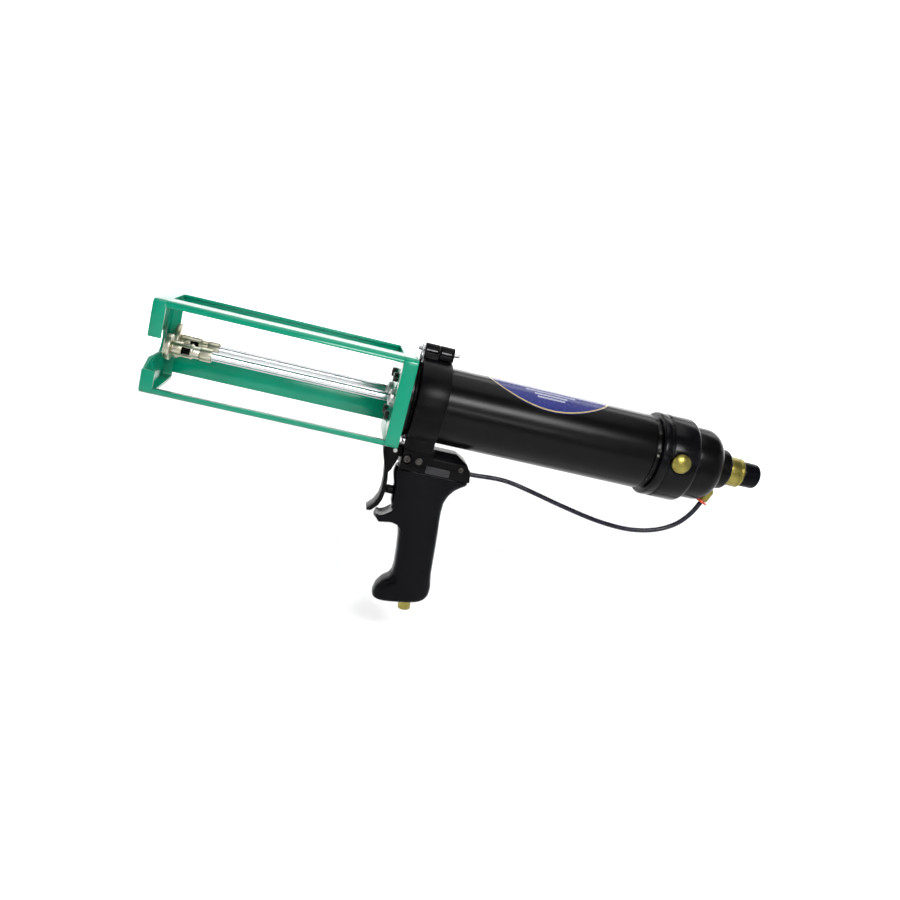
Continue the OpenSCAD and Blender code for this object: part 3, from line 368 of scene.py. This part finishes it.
# ---- Barrel --------------------------------------------------------------
# Drawn 3 inch tube that the air piston runs in, glossy black outside, with
# its rear edge rolled in against the end cap.
def arc(centre, radius, first, last, steps):
    """Points on an arc, angles in degrees."""
    turns = [math.radians(first + (last - first) * k / steps) for k in range(steps + 1)]
    return [(centre[0] + radius * math.cos(t), centre[1] + radius * math.sin(t)) for t in turns]


barrel_start, barrel_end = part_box("barrel")[0][0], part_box("barrel")[1][0]
barrel_radius = 0.038
bore_radius = 0.0346
lip = 0.003
barrel_outline = [(barrel_start, bore_radius), (barrel_start, barrel_radius - 0.0008),
                  (barrel_start + 0.0008, barrel_radius)]
barrel_step = (barrel_end - barrel_start) / 12
barrel_outline += [(barrel_start + barrel_step * k, barrel_radius) for k in range(1, 12)]
barrel_outline += arc((barrel_end - lip, barrel_radius - lip), lip, 90, 0, 10)
barrel_outline += [(barrel_end, bore_radius)]
piece("barrel_tube", turned(barrel_outline, 160), anodise, "barrel")

# ---- Barrel label --------------------------------------------------------
# Oval printed film on top of the barrel: a blue field inside a gold rim,
# with plain pale bars where the print sits.
def keep_node(node, paint):
    """A CAD node whose shape is right keeps it and takes this finish."""
    kept = frame["nodes"][node]
    kept.data.materials.clear()
    kept.data.materials.append(paint.material)


label_middle, label_half_length, label_half_width = 0.3755, 0.0635, 0.031
film = Paint("label_film", Specular_IOR_Level=0.2, Coat_Weight=0.1, Coat_Roughness=0.1)
x, y, z = film.axes()
along = (x - label_middle) / label_half_length
across = y / label_half_width
reach = along ** 2 + across ** 2
rim = (reach > 0.905) * (reach < 0.962)
field = film.blend(film.noise(60, 3), (0.010, 0.014, 0.120), (0.015, 0.021, 0.165))
print_lines = ((-0.62, 0.22, 0.036), (-0.5, 0.26, 0.036), (-0.36, 0.4, 0.036),
               (0.05, 0.62, 0.056), (0.45, 0.3, 0.036))
bars = 0
for offset, half_length, half_height in print_lines:
    bars = bars + (abs(across - offset) < half_height) * (abs(along) < half_length)
printed = film.blend(bars, field, (0.30, 0.31, 0.42))
edged = film.blend(rim, printed, (0.42, 0.34, 0.16))
film.feed("Base Color", film.blend(reach > 0.962, edged, (0.008, 0.008, 0.05)))
film.feed("Roughness", film.spread(film.noise(300, 3), 0.2, 0.32))
film.bump(film.noise(500, 2), 0.05, 0.0002)
keep_node("label", film)

# ---- Rubber seals --------------------------------------------------------
# Nitrile O-rings, rod seals, the piston cup and the bumper that it lands on,
# all pressed or stretched into their grooves.
nitrile = Paint("nitrile_rubber", Specular_IOR_Level=0.35)
bloom = nitrile.noise(120, 4)
nitrile.feed("Base Color", nitrile.ramp(bloom, (0.3, (0.011, 0.011, 0.011)), (0.75, (0.03, 0.03, 0.031))))
nitrile.feed("Roughness", nitrile.spread(bloom, 0.5, 0.75))
nitrile.bump(nitrile.noise(900, 3), 0.3, 0.0003)
for node in ("barrel_o_rings", "rod_seals", "bumper_ring", "piston_cup", "valve_seals"):
    keep_node(node, nitrile)

# ---- Bright steel parts --------------------------------------------------
# Ground and chromed push rods; the clamp's hinge pin, the eye tab and the foot
# screws have a duller plate.
def shaded_in_coupler(paint):
    """1 on the disc stub and rod end behind the coupler's windows, where near-black painted shade stands
    for the shade inside the coupler.
    """
    x, y, z = paint.axes()
    from_axis = ((abs(y) - 0.022) ** 2 + z ** 2) ** 0.5
    return (from_axis < 0.0054) * (x > 0.0170) * (x < 0.0420)


chrome = Paint("ground_chrome", Metallic=1.0)
lay = chrome.noise(900, 2, stretch=(1, 0.02, 0.02))
film_of_oil = chrome.noise(35, 4)
bright = chrome.ramp(film_of_oil, (0.3, (0.60, 0.61, 0.64)), (0.75, (0.74, 0.74, 0.75)))
# Painted shade: the rod end inside the coupler is coloured near-black.
chrome.feed("Base Color", chrome.blend(shaded_in_coupler(chrome), bright, (0.008, 0.008, 0.008)))
chrome.feed("Roughness", chrome.spread(film_of_oil, 0.13, 0.22) + lay * 0.05)
chrome.bump(lay, 0.05, 0.0001, radius=0.0004)
for node in ("near_rod", "far_rod"):
    dressed(node, chrome, 0.0003)
bright_plate = Paint("plated_fittings", Metallic=1.0)
wear = bright_plate.noise(110, 4)
grey = bright_plate.ramp(wear, (0.3, (0.26, 0.26, 0.27)), (0.75, (0.42, 0.42, 0.43)))
bright_plate.feed("Base Color", grey)
bright_plate.feed("Roughness", bright_plate.spread(wear, 0.26, 0.42))
bright_plate.bump(bright_plate.noise(1000, 2), 0.1, 0.0002, radius=0.0005)
for node in ("clamp_pin", "eye_tab", "foot_screws"):
    dressed(node, bright_plate, 0.0003)

# ---- Zinc plated parts ---------------------------------------------------
# Springs, nuts, glands, piston plates and the trigger pin in bright zinc, a
# little dulled by handling.
zinc = Paint("bright_zinc", Metallic=1.0)
dull = zinc.noise(140, 4)
zinc.feed("Base Color", zinc.ramp(dull, (0.3, (0.46, 0.46, 0.45)), (0.75, (0.66, 0.66, 0.65))))
zinc.feed("Roughness", zinc.spread(dull, 0.24, 0.42))
zinc.bump(zinc.noise(1100, 2), 0.12, 0.0002, radius=0.0004)
for node in ("rod_glands", "piston_front_plate", "piston_back_plate", "rod_nuts", "spring_plate",
             "regulator_screw", "trigger_pin"):
    keep_node(node, zinc)


def spring(node, axis, travel):
    """A coil spring, dressed from its CAD node and given a mesh of its own."""
    coil = dressed(node, zinc, 0.00005)
    low, high = (sum(a * c for a, c in zip(axis, corner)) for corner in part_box(node))
    1 - travel / (high - low)
    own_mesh(coil)


along_gun, across_gun = (1, 0, 0), (0, 1, 0)
spring("near_sleeve_spring", along_gun, 0.004)
spring("far_sleeve_spring", along_gun, 0.004)
spring("regulator_spring", along_gun, 0.0016)
spring("relief_spring", across_gun, 0.0031)
spring("valve_spring", along_gun, 0.0056)

# ---- Push discs and couplers ---------------------------------------------
# Steel turned parts with a yellow passivated zinc that shifts towards olive.
passivate = Paint("yellow_passivate", Metallic=1.0)
tint = passivate.noise(70, 4)
rings = passivate.noise(700, 2, stretch=(1, 0.05, 0.05))
plated = passivate.ramp(tint, (0.25, (0.36, 0.34, 0.20)), (0.5, (0.52, 0.50, 0.38)),
                        (0.8, (0.62, 0.60, 0.55)))
# Painted shade: the disc stub inside the coupler is coloured near-black.
passivate.feed("Base Color", passivate.blend(shaded_in_coupler(passivate), plated, (0.008, 0.008, 0.008)))
passivate.feed("Roughness", passivate.spread(tint, 0.2, 0.36) + rings * 0.06)
passivate.bump(rings, 0.06, 0.0002, radius=0.0005)
for node in ("near_disc", "far_disc", "near_coupler", "far_coupler", "near_lock_sleeve", "far_lock_sleeve"):
    dressed(node, passivate, 0.0003)

# ---- Brass parts ---------------------------------------------------------
# Turned brass: rod bushes, bonnet nut, relief button, hose elbow and inlet.
brass = Paint("turned_brass", Metallic=1.0)
patina = brass.noise(90, 4)
cuts = brass.noise(800, 2, stretch=(1, 0.05, 0.05))
brass.feed("Base Color", brass.ramp(patina, (0.25, (0.21, 0.17, 0.04)), (0.6, (0.31, 0.27, 0.07)),
                                    (0.85, (0.40, 0.36, 0.12))))
brass.feed("Roughness", brass.spread(patina, 0.22, 0.4) + cuts * 0.05)
brass.bump(cuts, 0.08, 0.0002, radius=0.0005)
keep_node("rod_bushes", brass)
for node in ("bonnet_nut", "relief_button", "hose_elbow", "inlet_nipple"):
    dressed(node, brass, 0.0004)

# ---- Band clamp, valve block and trigger ---------------------------------
# Cast aluminium clamp halves, a machined block with its valve stem, and the
# bent trigger, all satin black and screwed or pinned together.
satin = Paint("satin_black_cast", Specular_IOR_Level=0.08)
blotch = satin.noise(48, 4)
satin.feed("Base Color", satin.ramp(blotch, (0.3, (0.0009, 0.0009, 0.0013)),
                                    (0.75, (0.0026, 0.0026, 0.0032))))
satin.feed("Roughness", satin.spread(blotch, 0.24, 0.4))
satin.bump(satin.noise(1100, 3), 0.14, 0.0003, radius=0.0009)
for node in ("clamp_near", "clamp_far", "valve_block", "trigger", "valve_plunger"):
    dressed(node, satin, 0.0005)
dressed("regulator_housing", anodise, 0.0009)

# ---- End cap -------------------------------------------------------------
# Screwed into the barrel's rear end. In the groove between the two, scattered spots
# on its thread's turns are painted bright metal: painted glints of the thread.
cap_black = Paint("cap_anodise", Specular_IOR_Level=0.13)
cloud = cap_black.noise(26, 4)
x, y, z = cap_black.axes()
in_groove = (x > 0.4878) * (x < 0.4912) * ((y ** 2 + z ** 2) ** 0.5 < 0.0390)
turns = cap_black.node("Math", {"operation": "SINE"}, x * (math.tau / 0.0011))
# Painted highlight: random spots on the thread turns take a bright metal colour and full metallic.
painted_thread_glint = in_groove * (turns > 0.1) * (cap_black.noise(240, 3) > 0.60)
dark = cap_black.ramp(cloud, (0.3, (0.0008, 0.0008, 0.0013)), (0.75, (0.0024, 0.0024, 0.0034)))
cap_black.feed("Base Color", cap_black.blend(painted_thread_glint, dark, (0.22, 0.21, 0.17)))
cap_black.feed("Metallic", painted_thread_glint)
cap_black.feed("Roughness", cap_black.spread(cloud, 0.15, 0.27))
cap_black.bump(cap_black.noise(1500, 2) + turns * in_groove * 2, 0.12, 0.0003, radius=0.0006)
dressed("end_cap", cap_black, 0.0009)

# ---- Moulded plastic parts -----------------------------------------------
# Grip, regulator knob and hose fitting, injection moulded in black filled
# nylon with a fine grain.
nylon = Paint("grip_nylon", Specular_IOR_Level=0.09)
rub = nylon.noise(30, 4)
nylon.feed("Base Color", nylon.ramp(rub, (0.3, (0.0006, 0.0006, 0.0014)), (0.75, (0.0018, 0.0018, 0.0034))))
nylon.feed("Roughness", nylon.spread(rub, 0.17, 0.27))
nylon.bump(nylon.noise(1400, 3), 0.1, 0.0003, radius=0.0012)
for node in ("regulator_knob", "hose_fitting"):
    dressed(node, nylon, 0.0006)

# ---- Pistol grip ---------------------------------------------------------
# Moulded hollow handle, screwed up under the valve block, with a finger horn
# under the trigger, a hooked toe and a raked foot that takes the air inlet.
def slab(mesh, outline, half_width):
    """Extrudes a closed outline of (x, z) points sideways, to half_width on each side."""
    face = mesh.faces.new([mesh.verts.new((x, -half_width, z)) for x, z in outline])
    pulled = bmesh.ops.extrude_face_region(mesh, geom=[face])
    moved = [g for g in pulled["geom"] if isinstance(g, bmesh.types.BMVert)]
    bmesh.ops.translate(mesh, verts=moved, vec=(0, 2 * half_width, 0))


grip_half_thickness = 0.0155
grip_rake = math.tan(math.radians(8))
inlet_x = 0.290
grip_sections = [
    (-0.0682, 0.2464, 0.3202, 1.0, 0), (-0.0708, 0.2458, 0.3214, 1.0, 0),
    (-0.0735, 0.2455, 0.3210, 0.99, 0), (-0.0768, 0.2456, 0.3160, 0.98, 0),
    (-0.0814, 0.2468, 0.3104, 0.97, 0), (-0.0880, 0.2488, 0.3058, 0.96, 0),
    (-0.0960, 0.2492, 0.3029, 0.96, 0), (-0.1060, 0.2500, 0.3027, 0.96, 0),
    (-0.1150, 0.2530, 0.3034, 0.96, 0), (-0.1220, 0.2582, 0.3042, 0.95, 0),
    (-0.1300, 0.2630, 0.3051, 0.94, 0), (-0.1400, 0.2657, 0.3061, 0.93, 0),
    (-0.1560, 0.2678, 0.3076, 0.92, 0), (-0.1720, 0.2693, 0.3091, 0.93, 0),
    (-0.1805, 0.2689, 0.3105, 0.95, 0), (-0.1860, 0.2664, 0.3118, 0.96, 0),
    (-0.1900, 0.2600, 0.3124, 0.97, 0.2), (-0.1950, 0.2556, 0.3124, 0.98, 0.6),
    (-0.2005, 0.2541, 0.3121, 0.98, 1.0), (-0.2045, 0.2546, 0.3100, 0.95, 1.0),
    (-0.2069, 0.2570, 0.3065, 0.88, 1.0), (-0.2079, 0.2610, 0.3020, 0.78, 1.0),
]
squareness = 3.4
handle = bmesh.new()
rings = []
for level, front, rear, share, raked in grip_sections:
    made = bmesh.ops.create_circle(handle, segments=48, radius=1, cap_ends=False)["verts"]
    for vert in made:
        turn_x, turn_y = vert.co.x, vert.co.y
        x = (front + rear) / 2 + (rear - front) / 2 * math.copysign(abs(turn_x) ** (2 / squareness), turn_x)
        y = grip_half_thickness * share * math.copysign(abs(turn_y) ** (2 / squareness), turn_y)
        vert.co = (x, y, level + raked * grip_rake * (x - inlet_x))
    rings.append({e for v in made for e in v.link_edges})
for upper, lower in zip(rings, rings[1:]):
    bmesh.ops.bridge_loops(handle, edges=list(upper | lower))
for ring in (rings[0], rings[-1]):
    bmesh.ops.edgeloop_fill(handle, edges=list(ring))
bmesh.ops.recalc_face_normals(handle, faces=handle.faces)

horn_half_width = 0.0118
horn_outline = [
    (0.275, -0.106), (0.262, -0.1075), (0.2545, -0.1125), (0.2500, -0.1160),
    (0.2455, -0.1196), (0.2412, -0.1206), (0.2376, -0.1196), (0.2360, -0.1206),
    (0.2362, -0.1232), (0.2385, -0.1262), (0.2415, -0.1283), (0.2460, -0.1277),
    (0.2545, -0.1262), (0.2610, -0.1275), (0.2665, -0.1330), (0.275, -0.1330),
]
horn = bmesh.new()
slab(horn, horn_outline, horn_half_width)
for cut in (-0.008, -0.004, 0, 0.004, 0.008):
    bmesh.ops.bisect_plane(horn, geom=horn.verts[:] + horn.edges[:] + horn.faces[:],
                           plane_co=(0, cut, 0), plane_no=(0, 1, 0))
for vert in horn.verts:
    dip = 0.0019 * (1 - (vert.co.y / horn_half_width) ** 2)
    if vert.co.x < 0.2535 and vert.co.z > -0.1235:
        vert.co.z -= dip
    if vert.co.x < 0.2390:
        vert.co.x += 0.0025 * (vert.co.y / horn_half_width) ** 2
horn_mesh = bpy.data.meshes.new("horn")
bmesh.ops.recalc_face_normals(horn, faces=horn.faces)
horn.to_mesh(horn_mesh)
horn.free()
handle.from_mesh(horn_mesh)
grip = piece("pistol_grip", handle, nylon, "grip")


def with_modifiers(target, *steps):
    """Adds modifiers to an object and makes their result its mesh."""
    for kind, settings in steps:
        added = target.modifiers.new(kind.lower(), kind)
        for key, value in settings.items():
            setattr(added, key, value)
    bpy.context.view_layer.update()
    result = bpy.data.meshes.new_from_object(target.evaluated_get(bpy.context.evaluated_depsgraph_get()))
    target.modifiers.clear()
    target.data = result


def cutter(place, direction, radius, length):
    """A plain cylinder that a boolean takes away; it starts at place."""
    tool = bmesh.new()
    way = Vector(direction).normalized()
    facing = way.to_track_quat("Z", "Y").to_matrix().to_4x4()
    centre = Matrix.Translation(Vector(place) + way * length / 2) @ facing
    bmesh.ops.create_cone(tool, cap_ends=True, segments=64, radius1=radius, radius2=radius,
                          depth=length, matrix=centre)
    data = bpy.data.meshes.new("cutter")
    tool.to_mesh(data)
    tool.free()
    made = bpy.data.objects.new("cutter", data)
    bpy.context.collection.objects.link(made)
    return made


bore_tool = cutter((0.236, 0, -0.0955), (1, 0, 0), 0.00455, 0.056)
inlet_tool = cutter((0.292, 0, -0.222), (-grip_rake, 0, 1), 0.004, 0.12)
with_modifiers(grip, ("REMESH", {"mode": "VOXEL", "voxel_size": 0.0009}),
               ("SMOOTH", {"factor": 0.5, "iterations": 8}),
               ("BOOLEAN", {"operation": "DIFFERENCE", "object": bore_tool}),
               ("BOOLEAN", {"operation": "DIFFERENCE", "object": inlet_tool}))
for tool in (bore_tool, inlet_tool):
    bpy.data.objects.remove(tool)
grip_mesh = bmesh.new()
grip_mesh.from_mesh(grip.data)
shine(grip_mesh, 50)
grip_mesh.to_mesh(grip.data)
grip_mesh.free()
grip.data.materials.clear()
grip.data.materials.append(nylon.material)

# ---- Small trim ----------------------------------------------------------
# A blank plate pressed into the block's side, and the red acetal collar that
# is pushed in to release the hose from its elbow.
plate = Paint("nameplate_film", Metallic=0.4)
grime = plate.noise(300, 4, stretch=(0.1, 1, 1))
plate.feed("Base Color", plate.ramp(grime, (0.3, (0.012, 0.012, 0.014)), (0.75, (0.03, 0.03, 0.034))))
plate.feed("Roughness", plate.spread(grime, 0.3, 0.5))
plate.bump(grime, 0.1, 0.0002, radius=0.0003)
dressed("nameplate", plate, 0.0002)
acetal = Paint("collar_acetal", Coat_Weight=0.3, Coat_Roughness=0.2)
streak = acetal.noise(260, 3)
acetal.feed("Base Color", acetal.ramp(streak, (0.3, (0.50, 0.035, 0.01)), (0.75, (0.68, 0.075, 0.025))))
acetal.feed("Roughness", acetal.spread(streak, 0.28, 0.42))
acetal.bump(streak, 0.08, 0.0002, radius=0.0004)
dressed("release_collar", acetal, 0.0004)

# ---- Floor and light -----------------------------------------------------
# A pale dish with an upturned rim, and soft boxes above and in front.
floor_height = cad_box[0][2] - 0.045
dish = bmesh.new()
rim_points = [(0.02, 0), (0.5, 0), (1.5, 0)]
rim_points += [(2.4 + 1.1 * math.sin(t), 1.1 - 1.1 * math.cos(t))
               for t in [math.radians(90 * k / 14) for k in range(15)]]
rim_points += [(3.5, 1.6), (3.5, 2.6)]
rim_verts = [dish.verts.new((r, 0, floor_height + h)) for r, h in rim_points]
rim_edges = [dish.edges.new((a, b)) for a, b in zip(rim_verts, rim_verts[1:])]
bmesh.ops.spin(dish, geom=rim_verts + rim_edges, cent=(0, 0, 0), axis=(0, 0, 1),
               angle=math.tau, steps=96, use_merge=True)
middle_edges = [e for e in dish.edges if e.is_boundary and e.verts[0].co.length < 0.5]
bmesh.ops.holes_fill(dish, edges=middle_edges, sides=0)
bmesh.ops.translate(dish, verts=dish.verts, vec=(0.3, 0, 0))
for face in dish.faces:
    face.smooth = True
    if face.normal.z < 0:
        face.normal_flip()
floor_data = bpy.data.meshes.new("floor")
dish.to_mesh(floor_data)
dish.free()
floor = bpy.data.objects.new("floor", floor_data)
bpy.context.collection.objects.link(floor)
paper = Paint("floor_paper", Roughness=0.85)
white = paper.ramp(paper.noise(3, 2), (0.3, (0.86, 0.86, 0.86)), (0.7, (0.89, 0.89, 0.89)))
paper.feed("Base Color", white)
floor.data.materials.append(paper.material)


def soft_box(name, place, target, size, watts):
    """A rectangular lamp at place, turned to face target."""
    data = bpy.data.lights.new(name, "AREA")
    data.shape = "RECTANGLE"
    data.size, data.size_y = size
    data.energy = watts
    lamp = bpy.data.objects.new(name, data)
    facing = (Vector(target) - Vector(place)).to_track_quat("-Z", "Y").to_matrix().to_4x4()
    lamp.matrix_world = Matrix.Translation(place) @ facing
    bpy.context.collection.objects.link(lamp)


soft_box("key_light", (0.50, -0.92, 0.64), (0.33, 0, 0), (0.5, 0.24), 10)
soft_box("low_strip", (0.42, -0.95, 0.12), (0.36, 0, 0), (0.5, 0.05), 1.2)
soft_box("top_light", (0.3, 0.1, 1.7), (0.3, 0, 0), (1.6, 1.2), 9)
soft_box("left_light", (-1.3, -0.9, 0.6), (0.1, 0, 0), (0.5, 0.9), 4)
soft_box("rear_light", (0.5, 1.6, 0.7), (0.3, 0, 0), (1.4, 0.5), 5)
soft_box("wall_light", (0.3, 1.3, 0.9), (0.3, 3.6, 0.35), (5.0, 1.2), 95)
soft_box("floor_light", (0.3, 1.5, 1.9), (0.3, 2.0, -0.3), (4.0, 1.0), 40)

world = bpy.data.worlds.new("studio")
world.use_nodes = True
world.node_tree.nodes["Background"].inputs["Color"].default_value = (1, 1, 1, 1)
world.node_tree.nodes["Background"].inputs["Strength"].default_value = 0.12
bpy.context.scene.world = world
bpy.context.scene.view_settings.view_transform = "Standard"
